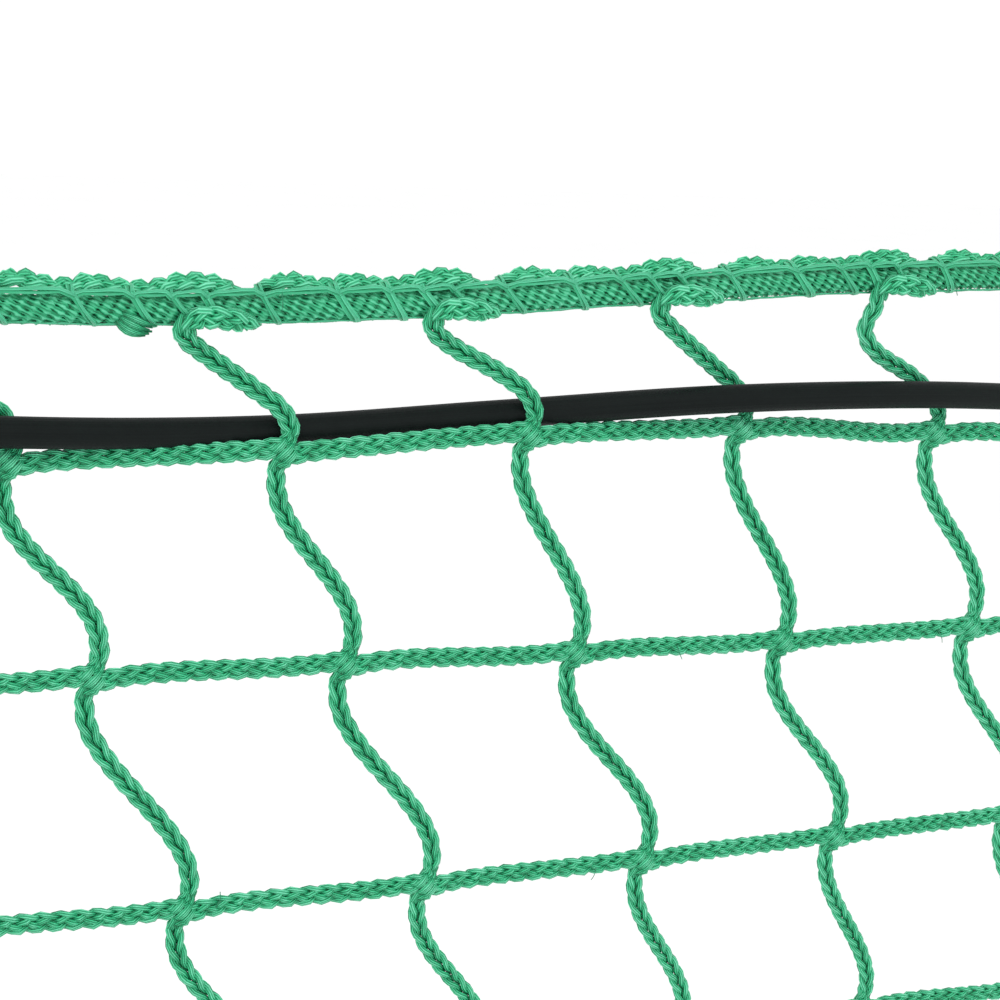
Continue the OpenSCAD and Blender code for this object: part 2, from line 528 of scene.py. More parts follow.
@dataclass
class Cord:
    """A straight length of cord made of yarns, and the meshes of it or of its halves."""

    name: str
    length: float
    step: float
    sides: int
    yarns: list[Yarn]
    half_width: float
    half_depth: float
    # Share of the cord's half size within which its yarns get the full painted shade
    painted_shade_core: float = 0.0
    meshes: dict[Part, bpy.types.Mesh] = field(default_factory=dict)

    # Half the distance over which a yarn's direction is measured
    NEAR = 0.05

    def mesh(self, part: Part = Part.WHOLE) -> bpy.types.Mesh:
        """The mesh of a stretch of the cord, made the first time it is asked for."""
        if part not in self.meshes:
            self.meshes[part] = self._build(part)
        return self.meshes[part]

    def _build(self, part: Part) -> bpy.types.Mesh:
        """Sweeps every yarn over a stretch of the cord."""
        first, last = (share * self.length for share in part.value)
        count = max(2, round((last - first) / self.step))
        stations = [first + (last - first) * i / count for i in range(count + 1)]
        bm = bmesh.new()
        place = bm.verts.layers.float_vector.new("yarn_place")
        outer = bm.verts.layers.float.new("outer")
        for number, yarn in enumerate(self.yarns):
            self._sweep(bm, place, yarn, stations, number)
        # outer runs from 0 at the cord's middle to 1 at its outside; the yarn shaders use it to
        # paint shade into the cord's hollows
        for vert in bm.verts:
            reach = math.hypot(vert.co.y / self.half_width, vert.co.z / self.half_depth)
            vert[outer] = min(1.0, max(0.0, (reach - self.painted_shade_core) / (1.0 - self.painted_shade_core)))
        bmesh.ops.recalc_face_normals(bm, faces=bm.faces)
        return mesh_of(bm, self.name)

    def _frame(self, yarn: Yarn, s: float) -> Matrix:
        """Where a ring of the yarn stands at a distance along the cord."""
        y, z = yarn.across(s)
        y0, z0 = yarn.across(s - self.NEAR)
        y1, z1 = yarn.across(s + self.NEAR)
        heading = Vector((2 * self.NEAR, y1 - y0, z1 - z0)).normalized()
        lateral = Vector((0, 0, 1)).cross(heading).normalized()
        depth = heading.cross(lateral)
        wide, deep = yarn.radius(s)
        turn = Matrix((lateral * wide, depth * deep, heading)).transposed().to_4x4()
        return Matrix.Translation((s, y, z)) @ turn

    def _sweep(
        self, bm: bmesh.types.BMesh, place: object, yarn: Yarn, stations: list[float], number: int
    ) -> None:
        """Draws one ring along the yarn as a closed tube."""
        frame = self._frame(yarn, stations[0])
        made = bmesh.ops.create_circle(bm, cap_ends=False, segments=self.sides, radius=1.0)
        ring = made["verts"]
        wide, deep = yarn.radius(stations[0])
        shift = YARN_SHIFT * number
        for vert in ring:
            vert[place] = (vert.co.x * wide, vert.co.y * deep, stations[0] + shift)
        bmesh.ops.transform(bm, matrix=frame, verts=ring)
        edges = list(dict.fromkeys(edge for vert in ring for edge in vert.link_edges))
        bmesh.ops.contextual_create(bm, geom=edges)
        for s in stations[1:]:
            grown = bmesh.ops.extrude_edge_only(bm, edges=edges)["geom"]
            ring = [item for item in grown if isinstance(item, bmesh.types.BMVert)]
            edges = [item for item in grown if isinstance(item, bmesh.types.BMEdge)]
            edges = [edge for edge in edges if all(vert in ring for vert in edge.verts)]
            following = self._frame(yarn, s)
            bmesh.ops.transform(bm, matrix=following @ frame.inverted(), verts=ring)
            frame = following
            for vert in ring:
                vert[place] = (vert[place].x, vert[place].y, s + shift)
        bmesh.ops.contextual_create(bm, geom=edges)


def eased_ends(length: float, reach: float, least: float) -> Callable[[float], float]:
    """A share of full size that falls to `least` over the last `reach` at both ends of a cord."""

    def share(s: float) -> float:
        return least + (1.0 - least) * float(smooth(min(s, length - s) / reach))

    return share


def thinned(share: float) -> float:
    """How thick a yarn stays where its cord is only a share as wide."""
    return 0.55 + 0.45 * share


@dataclass(frozen=True)
class PlaitMaker:
    """Flat plait of an odd number of yarns, each over one and under one, as in the net's bars."""

    strands: int = 5
    lateral: float = 1.3
    depth: float = 0.5
    wide: float = 0.59
    deep: float = 0.54
    lobe: float = 3.3
    rings: int = 14
    end_reach: float = 5.0
    end_share: float = 0.5

    def make(self, name: str, length: float) -> Cord:
        """Makes a cord of that length."""
        lobes = max(LEAST_LOBES, round(length / self.lobe))
        period = self.strands * length / lobes
        crossings = self.strands - 1
        share = eased_ends(length, self.end_reach, self.end_share)

        def yarn(k: int) -> Yarn:
            def across(s: float) -> tuple[float, float]:
                phase = math.tau * (s / period + k / self.strands)
                swing = math.sin(phase) - math.sin(3 * phase) / 9
                size = share(s)
                return self.lateral * size * swing, self.depth * size * math.sin(crossings * phase)

            def radius(s: float) -> tuple[float, float]:
                phase = math.tau * (s / period + k / self.strands)
                swell = 1.0 + 0.12 * math.sin(crossings * phase)
                size = thinned(share(s))
                return self.wide * swell * size, self.deep * swell * size

            return Yarn(across, radius)

        yarns = [yarn(k) for k in range(self.strands)]
        half_width, half_depth = self.lateral + self.wide, self.depth + self.deep
        return Cord(name, length, period / self.rings, YARN_SIDES, yarns, half_width, half_depth)


@dataclass(frozen=True)
class PairMaker:
    """Two cords side by side, each of two plies twisted opposite ways, as in the net's legs."""

    apart: float = 0.80
    orbit: float = 0.44
    ply: float = 0.63
    lobe: float = 3.3
    rings: int = 7
    end_reach: float = 4.0
    end_share: float = 0.5

    def make(self, name: str, length: float) -> Cord:
        """Makes a cord of that length."""
        lobes = max(LEAST_LOBES, round(length / self.lobe))
        period = 2.0 * length / lobes
        share = eased_ends(length, self.end_reach, self.end_share)

        def yarn(side: int, k: int) -> Yarn:
            def across(s: float) -> tuple[float, float]:
                turn = side * math.tau * (s / period + k / 2) + math.pi / 4 * (side + 1)
                size = share(s)
                y = side * self.apart + self.orbit * math.cos(turn)
                return y * size, self.orbit * size * math.sin(turn)

            def radius(s: float) -> tuple[float, float]:
                size = self.ply * thinned(share(s))
                return size, size

            return Yarn(across, radius)

        yarns = [yarn(side, k) for side in (-1, 1) for k in range(2)]
        half_depth = self.orbit + self.ply
        half_width = self.apart + half_depth
        return Cord(name, length, period / self.rings, YARN_SIDES, yarns, half_width, half_depth)


@dataclass(frozen=True)
class CoreMaker:
    """Round edge rope: slanted yarns laid round a filling."""

    radius: float = 2.5
    yarns: int = 10
    yarn: float = 0.66
    lay: float = 1.9
    grain: float = 2.2
    bead: float = 0.42
    rings: int = 3
    # Share of the radius within which the filling and the inner sides of the yarns get the full
    # painted shade
    painted_shade_core: float = 0.55

    def make(self, name: str, length: float) -> Cord:
        """Makes a rope of that length, fitted to whole lays so that lengths join unseen."""
        lays = max(1, round(length / self.lay))
        period = self.yarns * length / lays
        grains = math.tau * max(1, round(length / self.grain)) / length
        ring = self.radius - self.yarn

        def yarn(k: int) -> Yarn:
            def turned(s: float) -> float:
                return math.tau * (k / self.yarns + s / period)

            def across(s: float) -> tuple[float, float]:
                turn = turned(s)
                return ring * math.cos(turn), ring * math.sin(turn)

            def radius(s: float) -> tuple[float, float]:
                turn = turned(s)
                swell = self.yarn * (1.0 + self.bead * math.sin(grains * s + 3.0 * turn))
                return swell, swell

            return Yarn(across, radius)

        yarns = [Yarn(straight, lambda s: (ring, ring))] + [yarn(k) for k in range(self.yarns)]
        step = self.grain / self.rings
        return Cord(name, length, step, YARN_SIDES, yarns, self.radius, self.radius, self.painted_shade_core)


@dataclass(frozen=True)
class TwineMaker:
    """Flat split-film twine: two ribbons that lie partly over each other."""

    wide: float = 0.42
    deep: float = 0.18
    apart: float = 0.3
    step: float = 1.2

    def make(self, name: str, length: float, scale: float = 1.0) -> Cord:
        """Makes a twine of that length, wider or narrower by a scale."""

        def ribbon(k: int) -> Yarn:
            def across(s: float) -> tuple[float, float]:
                side = 2 * k - 1
                waver = 0.12 * math.sin(0.9 * s + 2.0 * k)
                return side * self.apart * scale + waver, side * self.deep / 2

            def radius(s: float) -> tuple[float, float]:
                return self.wide * scale * (1.0 + 0.14 * math.sin(0.7 * s + 3.0 * k)), self.deep

            return Yarn(across, radius)

        half_width = (self.apart + self.wide) * scale
        ribbons = [ribbon(0), ribbon(1)]
        return Cord(name, length, self.step, RIBBON_SIDES, ribbons, half_width, self.deep)


@dataclass(frozen=True)
class GrainMaker:
    """One short strand, tapered at both ends."""

    wide: float = 0.78
    deep: float = 0.5
    end_share: float = 0.35
    rings: int = 6
    sides: int = 6

    def make(self, name: str, length: float) -> Cord:
        """Makes a strand of that length."""
        share = eased_ends(length, length / 2, self.end_share)
        yarn = Yarn(straight, lambda s: (self.wide * share(s), self.deep * share(s)))
        return Cord(name, length, length / self.rings, self.sides, [yarn], self.wide, self.deep)


@dataclass(frozen=True)
class TubeMaker:
    """A plain round cord, such as the elastic or a loose filament."""

    radius: float
    step: float
    sides: int

    def make(self, name: str, length: float) -> Cord:
        """Makes a cord of that length."""
        yarn = Yarn(straight, lambda s: (self.radius, self.radius))
        return Cord(name, length, self.step, self.sides, [yarn], self.radius, self.radius)


# ---------------------------------------------------------------- pieces


class Piece:
    """One object of the net, gathered from bent lengths of cord."""

    def __init__(self, name: str) -> None:
        self.name = name
        self.bm = bmesh.new()

    def lay(
        self,
        cord: Cord,
        route: Route,
        part: Part = Part.WHOLE,
        stretch: tuple[float, float] = (0.0, 1.0),
    ) -> None:
        """Adds a cord along a route.

        Args:
            cord: the straight cord.
            route: where it goes, in millimetres.
            part: the stretch of the cord that this piece holds.
            stretch: shares of the route between which the whole cord lies.
        """
        bent = cord.mesh(part).copy()
        flat = np.empty(len(bent.vertices) * 3, np.float32)
        bent.vertices.foreach_get("co", flat)
        places = route.bend(flat.reshape(-1, 3).astype(float), cord.length, stretch)
        bent.vertices.foreach_set("co", (places * MM).ravel())
        self.bm.from_mesh(bent)
        bpy.data.meshes.remove(bent)

    def finish(self, material: bpy.types.Material, slot: Slot) -> bpy.types.Object:
        """Makes the object, smooth but for the yarns' cut ends, with its material."""
        mesh = mesh_of(self.bm, self.name)
        mesh.polygons.foreach_set("use_smooth", [face.loop_total == 4 for face in mesh.polygons])
        mesh.materials.append(material)
        piece = add_object(self.name, mesh)
        LOG.info("%s: %d faces", self.name, len(mesh.polygons))
        return piece


@dataclass(frozen=True)
class Wave:
    """A slow wave over the columns of the net."""

    height: float
    length: float
    start: float

    def at(self, column: float) -> float:
        """Its height at a column."""
        return self.height * math.sin(math.tau * (column - self.start) / self.length)


def from_sides(column: float, reach: float) -> float:
    """A share that rises from 0 at both sides of the net to 1 at that many columns from them."""
    return float(smooth(min(column, COLUMNS - column) / reach))


@dataclass(frozen=True)
class Lattice:
    """Where the knots of the net are, in millimetres."""

    lines: tuple[np.ndarray, ...]
    pitch: float
    rises: tuple[Wave, ...] = (
        Wave(4.0, 8.4, 10.9),
        Wave(1.8, 5.0, 9.45),
        Wave(0.8, 6.0, 6.6),
        Wave(0.6, 7.0, 11.0),
        Wave(1.2, 6.4, 8.2),
        Wave(1.4, 7.3, 5.1),
    )
    sways: tuple[Wave, ...] = (
        Wave(1.2, 4.0, 12.0),
        Wave(1.3, 4.6, 8.7),
        Wave(0.5, 5.3, 9.0),
        Wave(1.3, 4.6, 8.8),
        Wave(1.0, 6.1, 7.0),
    )
    lifts: tuple[float, ...] = (
        0.0, 0.0, 1.8, -1.1, 0.6, -0.8, 0.9, 0.0, -0.6, 0.7, -0.4, 0.5, 0.0, 0.0
    )
    still_columns: float = 2.0

    @classmethod
    def from_frame(cls, frame: dict) -> "Lattice":
        """Reads the row lines from the frame's folds, and the columns from its corner mounts."""
        folds = sorted(frame["joints"], key=lambda joint: joint["name"])
        lines = [np.array(fold["pos_m"]) / MM for fold in folds]
        low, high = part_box("bottom_edge_rope")
        lines.append(np.array((low + high) / 2) / MM)
        places = {mount["name"]: mount["pos_m"] for mount in frame["record"]["mounts"]}
        left, right = (places[f"top_{side}_corner"][0] / MM for side in ("left", "right"))
        return cls(tuple(lines), (right - left) / COLUMNS)

    @property
    def rows(self) -> int:
        """How many mesh rows there are."""
        return len(self.lines) - 1

    def line_place(self, row: int, column: float) -> np.ndarray:
        """A place on a row line, with no wander."""
        return self.lines[row] + RIGHT * (column - COLUMNS / 2) * self.pitch

    def side_place(self, row: int, side: int) -> np.ndarray:
        """Where a row line meets a side rope, the left one for side -1 and the right one for 1."""
        return self.line_place(row, 0 if side < 0 else COLUMNS)

    def knot(self, row: int, column: float) -> np.ndarray:
        """Where a knot lies, a little off the even lattice, as handled netting does."""
        share = from_sides(column, self.still_columns) * float(smooth(self.rows - row))
        sway = self.sways[row % len(self.sways)].at(column)
        rise = self.rises[row % len(self.rises)].at(column) + self.lifts[row]
        return self.line_place(row, column) + share * (sway * RIGHT + rise * UP)

    def span(self, row: int, column: int) -> tuple[np.ndarray, np.ndarray]:
        """A knot and the next one to its right."""
        return self.knot(row, column), self.knot(row, column + 1)


def behind(number: int) -> int:
    """+1 where the elastic passes behind this column or row, and -1 where it passes in front."""
    return 1 if ((number + 1) // 2) % 2 == 1 else -1


def around(
    place: np.ndarray, offsets: Sequence[Offset], turned: int = 1, front: int = 1
) -> list[np.ndarray]:
    """Places at offsets from a place.

    Args:
        place: the place.
        offsets: how far they stand to the right, up, and towards the viewer.
        turned: -1 turns them half round, in the plane of the net.
        front: -1 puts them on the other side of that plane.

    Returns:
        The places.
    """
    return [place + (RIGHT * x + UP * z) * turned + FRONT * y * front for x, z, y in offsets]


def beside(
    start: np.ndarray, way: np.ndarray, out: np.ndarray, offsets: Sequence[Offset]
) -> list[np.ndarray]:
    """Places beside an edge.

    Args:
        start: where the way starts.
        way: a stretch along the edge.
        out: outwards across the edge.
        offsets: their shares of the way, and how far they stand outwards and towards the viewer.

    Returns:
        The places.
    """
    return [start + way * share + out * x + FRONT * y for share, x, y in offsets]


def body_name(row: int) -> str:
    """The body of a mesh row, or of the top edge for row 0."""
    return "head" if row == 0 else f"row_{row:02d}"


def join_at_fold(
    made: bpy.types.Object, lattice: Lattice, row: int, above: float = 9.0, below: float = 9.0
) -> None:
    """Puts a piece on the last row's body where it lies on the bottom row line, and elsewhere only
    bakes its transform into its mesh.

    Args:
        made: the piece.
        lattice: the net's knots.
        row: the row line that it lies across.
        above: a distance above the line, in millimetres; the place worked out from it is not used.
        below: a distance below the line, in millimetres; the place worked out from it is not used.
    """
    if row == lattice.rows:
        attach(made, body_name(row))
        return
    if row == 0:
        above, below = BELOW_TOP_ROPE
    middle = lattice.lines[row]
    body_name(row)
    body_name(row + 1)
    tuple((middle + UP * above) * MM)
    tuple((middle - UP * below) * MM)
    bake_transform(made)


# ---------------------------------------------------------------- the net


@dataclass
class Netting:
    """The knotless netting: bars, legs and the joints where their strands pass side by side."""

    lattice: Lattice
    material: bpy.types.Material
    bar: Cord = field(init=False)
    leg: Cord = field(init=False)
    short_leg: Cord = field(init=False)
    selvedge: Cord = field(init=False)
    end_selvedge: Cord = field(init=False)
    side_selvedge: Cord = field(init=False)
    grain: Cord = field(init=False)

    # How much longer than a mesh a bar, a leg and a leg beside an edge rope are made
    BAR_EXTRA, LEG_EXTRA, SHORT_LEG_EXTRA = 9.0, 1.0, -5.0
    # Strand through a joint, from below it to its bar: right, up and towards the viewer
    JOINT = (
        (-1.5, -4.2, -0.5),
        (-1.4, -2.7, 0.4),
        (0.6, -0.95, 0.6),
        (3.7, -0.3, 0.25),
        (8.0, 0.0, 0.0),
    )
    # A leg's end, from behind the joint above it
    LEG_END = ((0.3, -0.6, -0.7), (-1.1, -3.0, -0.3), (-1.25, -6.2, 0.0), (-0.1, -10.6, 0.0))
    # A first leg's upper end, on the front of the top edge rope
    LEG_TOP = ((1.2, -0.6, 3.0), (0.5, -2.4, 3.0), (1.2, -4.2, 2.2), (4.3, -6.8, 1.0))
    # Every so many of the first legs, one hangs slack by this much
    SLACK_STEP = 4
    SLACK = RIGHT * -4.4 + UP * -3.4
    # A first leg above its lower end, where the elastic passes it, and the points of that end
    LEG_PASS = ((-5.0, 10.6, 0.8), (-0.9, 7.4, 1.1))
    PASSED_POINTS = 2
    # A cord's end where it crosses an edge rope: outwards, and towards the viewer
    CROSSING = ((4.3, 0.6), (1.7, 3.1), (-1.6, 3.7), (-4.6, 2.3), (-8.5, 0.4))
    # How many of those points a leg has where it crosses the bottom rope
    LEG_CROSSING = 4
    # Grains of a joint: how far they stand to its lower right, and how long each is made
    GRAINS = (-1.35, 0.0, 1.35)
    GRAIN_LENGTH = 6.6
    # A grain's points: share of its reach along its lean, and how far it sinks into the joint
    GRAIN = ((-1.0, 1.4), (-0.5, 0.0), (0.5, 0.0), (1.0, 1.4))
    # The selvedge round an edge rope: share of the pitch, outwards, and towards the viewer
    SELVEDGE = (
        (0.04, -3.4, 2.0),
        (0.05, -1.7, 3.3),
        (0.09, -0.7, 3.6),
        (0.14, -0.9, 3.5),
        (0.21, -1.4, 3.1),
        (0.265, -2.2, 1.7),
        (0.295, -2.4, -0.9),
        (0.32, -0.9, -3.1),
        (0.355, 1.9, -3.3),
        (0.40, 3.8, -1.5),
        (0.45, 4.1, -0.5),
        (0.51, 3.6, -0.7),
        (0.57, 2.9, -1.3),
        (0.64, 3.1, -1.1),
        (0.70, 3.8, -0.6),
        (0.76, 3.2, -1.0),
        (0.85, 2.8, -1.4),
        (0.93, 3.0, -1.2),
        (0.99, 3.9, -0.3),
        (1.07, 4.3, 0.2),
        (1.15, 3.9, -0.1),
        (1.22, 2.8, -1.6),
        (1.28, 0.9, -3.1),
    )
    # How much longer than its way the selvedge is, because it winds round the rope
    WINDING = 18.0
    # The share of a mesh at which the last mesh's selvedge ends
    LAST_REACH = 0.95
    # How the selvedge's distance from the rope changes over the columns, and its share below
    SWELL = Wave(0.12, math.tau / 1.05, 0.55 / 1.05)
    BOTTOM_SHARE = 0.86
    # Where the selvedge stands out past this, it is turned this much more towards the viewer
    HUMP, HUMP_TURN = 2.5, 2.6

    def __post_init__(self) -> None:
        """Makes the straight cords that are bent to shape."""
        pitch = self.lattice.pitch
        pair = PairMaker()
        thick = PlaitMaker(lateral=1.35, depth=0.48, wide=0.66, deep=0.84, end_share=0.7, rings=18)
        slim = PlaitMaker(strands=3, lateral=1.15, depth=0.5, wide=0.85, deep=0.8, end_share=0.7)
        way = (self.SELVEDGE[-1][0] - self.SELVEDGE[0][0]) * pitch
        self.bar = PlaitMaker().make("bar", pitch + self.BAR_EXTRA)
        self.leg = pair.make("leg", pitch + self.LEG_EXTRA)
        self.short_leg = pair.make("short_leg", pitch + self.SHORT_LEG_EXTRA)
        self.selvedge = thick.make("selvedge", way + self.WINDING)
        self.end_selvedge = thick.make("end_selvedge", pitch)
        self.side_selvedge = slim.make("side_selvedge", pitch)
        self.grain = GrainMaker().make("grain", self.GRAIN_LENGTH)

    def crossing(self, knot: np.ndarray, out: np.ndarray) -> list[np.ndarray]:
        """Points of a cord's end that crosses an edge rope."""
        return [knot + out * x + FRONT * y for x, y in self.CROSSING]

    def bar_route(self, row: int, column: int) -> Route:
        """The route of the bar to the right of a knot, with its strand through both joints."""
        left, right = self.lattice.span(row, column)
        start = self.crossing(left, -RIGHT) if column == 0 else around(left, self.JOINT)
        if column == COLUMNS - 1:
            end = self.crossing(right, RIGHT)
        else:
            end = around(right, self.JOINT, turned=-1)
        return Route(start + end[::-1])

    def leg_route(self, row: int, column: int) -> Route:
        """The route of the leg that hangs from a knot of the row line above a mesh row."""
        top, bottom = self.lattice.knot(row - 1, column), self.lattice.knot(row, column)
        lower = self.LEG_END
        if row == 1:
            start = around(top, self.LEG_TOP)
            if column % self.SLACK_STEP == 0:
                start[-1] = start[-1] + self.SLACK
            start += around(bottom, self.LEG_PASS, front=behind(column))
            lower = lower[: self.PASSED_POINTS]
        else:
            start = around(top, self.LEG_END)
        if row == self.lattice.rows:
            end = self.crossing(bottom, -UP)[: self.LEG_CROSSING]
        else:
            end = around(bottom, lower, turned=-1)
        return Route(start + end[::-1])

    def selvedge_route(
        self, start: np.ndarray, end: np.ndarray, out: np.ndarray, reach: float
    ) -> Route:
        """The route of the selvedge that winds once round an edge rope between two knots.

        Args:
            start: the knot where it starts.
            end: the next knot.
            out: outwards across the edge.
            reach: the share of the way between the knots at which it ends, at most.

        Returns:
            The route.
        """
        offsets = [offset for offset in self.SELVEDGE if offset[0] <= reach]
        facings = [
            unit(out * x + FRONT * (y + (self.HUMP_TURN if x > self.HUMP else 0.0)))
            for _, x, y in offsets
        ]
        return Route(beside(start, end - start, out, offsets), facings)

    def build(self) -> None:
        """Makes one piece for each row line."""
        for row in range(self.lattice.rows + 1):
            piece = Piece(f"netting_row_{row:02d}")
            if row in (0, self.lattice.rows):
                self.lay_selvedge(piece, row)
            else:
                self.lay_bars(piece, row)
            self.lay_legs(piece, row)
            made = piece.finish(self.material, Slot.NETTING)
            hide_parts(f"mesh_row_{row:02d}", *([f"mesh_legs_{row:02d}"] if row else []))
            join_at_fold(made, self.lattice, row)

    def lay_selvedge(self, piece: Piece, row: int) -> None:
        """Lays the selvedge along the top or bottom edge rope."""
        out = UP if row == 0 else UP * -self.BOTTOM_SHARE
        for column in range(COLUMNS):
            cord, reach = self.selvedge, math.inf
            if column == COLUMNS - 1:
                cord, reach = self.end_selvedge, self.LAST_REACH
            swell = 1.0 + self.SWELL.at(column)
            ends = self.lattice.span(row, column)
            piece.lay(cord, self.selvedge_route(*ends, out * swell, reach))

    def lay_bars(self, piece: Piece, row: int) -> None:
        """Lays the bars of a row line, and the grains of its joints."""
        for column in range(COLUMNS):
            piece.lay(self.bar, self.bar_route(row, column))
        for column in range(1, COLUMNS):
            self.lay_grains(piece, self.lattice.knot(row, column))

    def lay_legs(self, piece: Piece, row: int) -> None:
        """Lays the near halves of the legs that hang from a row line and of those that reach it."""
        rows = self.lattice.rows
        for column in range(1, COLUMNS):
            for hung, part in ((row + 1, Part.FIRST_HALF), (row, Part.SECOND_HALF)):
                if 1 <= hung <= rows:
                    cord = self.short_leg if hung in (1, rows) else self.leg
                    piece.lay(cord, self.leg_route(hung, column), part)

    def lay_grains(self, piece: Piece, knot: np.ndarray) -> None:
        """Lays the slanted strands that bind the two bars together in a joint.

        The outer ones are a little shorter and lie a little deeper than the middle one.
        """
        for number, across in enumerate(self.GRAINS):
            middle = knot + unit(RIGHT - UP) * across + FRONT * (1.55 - 0.16 * across**2)
            reach = 2.6 - 0.2 * across**2
            lean = unit(RIGHT * (1.0 + 0.12 * (number % 2)) + UP)
            points = [middle + lean * reach * share - FRONT * sunk for share, sunk in self.GRAIN]
            piece.lay(self.grain, Route(points))


@dataclass
class EdgeRope:
    """The edge rope all round, and the flat twine stitched round it and the selvedge."""

    lattice: Lattice
    netting: Netting
    rope_material: bpy.types.Material
    twine_material: bpy.types.Material
    stitches: tuple[float, ...] = (0.10, 0.32, 0.62, 0.83, 0.97)
    corner: float = 8.0
    lean: float = 4.0
    wrap_length: float = 22.0
    run_length: float = 10.0

    # Shares of a mesh that stay clear at a corner: of side stitches, of cords, and of the hem
    NO_STITCHES, NO_CORDS, NO_HEM = 0.2, 0.14, 0.16
    # Widths of the wraps, the runs between them, and the hem, as shares of the twine's width
    WRAP_WIDTHS, RUN_WIDTH, HEM_WIDTH = (0.8, 1.0, 1.2), 0.85, 0.5
    # How far the side selvedge and the hem stand from the rope's middle, and how much they waver
    SELVEDGE_OUT, SELVEDGE_WAVER, HEM_IN, HEM_WAVER = 3.5, 0.35, 2.42, 0.1
    # Weights of a stitch's place across, its place up and its share, which vary the stitches
    VARIETY = (0.37, 0.61, 17.0)
    # One wrap of the twine: share of its lean along the edge, outwards, and towards the viewer
    WRAP = (
        (0.00, 3.0, 2.1),
        (0.30, 1.2, 2.75),
        (0.75, -1.4, 2.5),
        (1.00, -2.7, 0.9),
        (0.95, -2.7, -1.1),
        (0.70, -0.9, -3.0),
        (0.40, 2.0, -3.5),
        (0.15, 3.7, -2.0),
        (0.02, 3.8, 0.3),
        (0.00, 3.0, 2.1),
    )
    # A run from one stitch to the next: share of its way, outwards, and towards the viewer
    RUN = ((0.0, 2.1, 2.4), (0.15, 2.8, 2.4), (0.55, 3.0, 2.3), (1.0, 2.8, 2.4), (1.08, 2.1, 2.5))

    def __post_init__(self) -> None:
        """Makes the straight twines that are bent to shape."""
        twine, sparse = TwineMaker(), TwineMaker(step=2.0)
        self.side_ropes: dict[int, Cord] = {}
        self.wraps = [
            twine.make(f"wrap_{width}", self.wrap_length, width) for width in self.WRAP_WIDTHS
        ]
        self.run = sparse.make("run", self.run_length, self.RUN_WIDTH)
        self.hem = sparse.make("hem", self.lattice.pitch, self.HEM_WIDTH)

    def build(self) -> None:
        """Makes the ropes and their twine."""
        for row, name in ((0, "top"), (self.lattice.rows, "bottom")):
            rope = self.level_rope(row, f"{name}_edge_core").finish(self.rope_material, Slot.ROPE)
            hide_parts(f"{name}_edge_rope")
            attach(rope, body_name(row))
            stitched = self.level_twine(row, f"{name}_edge_twine")
            twine = stitched.finish(self.twine_material, Slot.BINDING)
            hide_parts(f"{name}_edge_binding")
            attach(twine, body_name(row))
        for row in range(self.lattice.rows + 1):
            pieces = [Piece(f"side_{what}_{row:02d}") for what in ("rope", "twine", "selvedge")]
            for side in (-1, 1):
                self.lay_side(row, side, *pieces)
            rope, twine, selvedge = pieces
            made = rope.finish(self.rope_material, Slot.ROPE)
            if row > 0:
                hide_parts(f"side_edges_{row:02d}")
            stitched = twine.finish(self.twine_material, Slot.BINDING)
            knitted = selvedge.finish(self.netting.material, Slot.NETTING)
            for each in (made, stitched, knitted):
                join_at_fold(each, self.lattice, row)

    def corner_arc(
        self, corner: np.ndarray, arrive: np.ndarray, leave: np.ndarray
    ) -> list[np.ndarray]:
        """Points of a rounded corner, from its side towards `arrive` to that towards `leave`."""
        start, end = corner + arrive * self.corner, corner + leave * self.corner
        shares = (0.0, 0.25, 0.5, 0.75, 1.0)
        return [start * (1 - t) ** 2 + corner * 2 * t * (1 - t) + end * t**2 for t in shares]

    def level_rope(self, row: int, name: str) -> Piece:
        """The rope along the top or bottom edge, with its rounded corners."""
        knots = [self.lattice.knot(row, column) for column in range(COLUMNS + 1)]
        neighbour, rings = (1, 4) if row == 0 else (row - 1, 3)
        left = unit(self.lattice.side_place(neighbour, -1) - knots[0])
        right = unit(self.lattice.side_place(neighbour, 1) - knots[-1])
        points = self.corner_arc(knots[0], left, RIGHT)
        points += knots[1:-1]
        points += self.corner_arc(knots[-1], -RIGHT, right)
        whole = Route(points, FRONT, -left, right)
        rope = CoreMaker(rings=rings).make(f"{name}_length", self.lattice.pitch)
        lengths = round(whole.length / rope.length)
        piece = Piece(name)
        for number in range(lengths):
            piece.lay(rope, whole, stretch=(number / lengths, (number + 1) / lengths))
        return piece

    def side_rope(self, length: int) -> Cord:
        """A straight rope about as long as a side's stretch, made once for each length."""
        if length not in self.side_ropes:
            rope = CoreMaker(grain=2.5).make(f"side_rope_{length}", float(length))
            self.side_ropes[length] = rope
        return self.side_ropes[length]

    def side_rope_route(self, row: int, side: int) -> Route:
        """A side rope's route past a row line, from the middle of a mesh row to that of the next.

        Args:
            row: the row line.
            side: -1 for the left side and 1 for the right.

        Returns:
            The route, which starts or ends at the end of the rounded corner at the net's corners.
        """
        near = range(max(0, row - 1), min(self.lattice.rows, row + 1) + 1)
        places = [self.lattice.side_place(line, side) for line in near]
        start, end = places[1] - places[0], places[-1] - places[-2]
        points = [(places[0] + places[1]) / 2, (places[-2] + places[-1]) / 2]
        if row == 0:
            points[0] = places[0] + unit(start) * self.corner
        elif row == self.lattice.rows:
            points[1] = places[-1] - unit(end) * self.corner
        else:
            points.insert(1, places[1])
        return Route(points, FRONT, start, end)

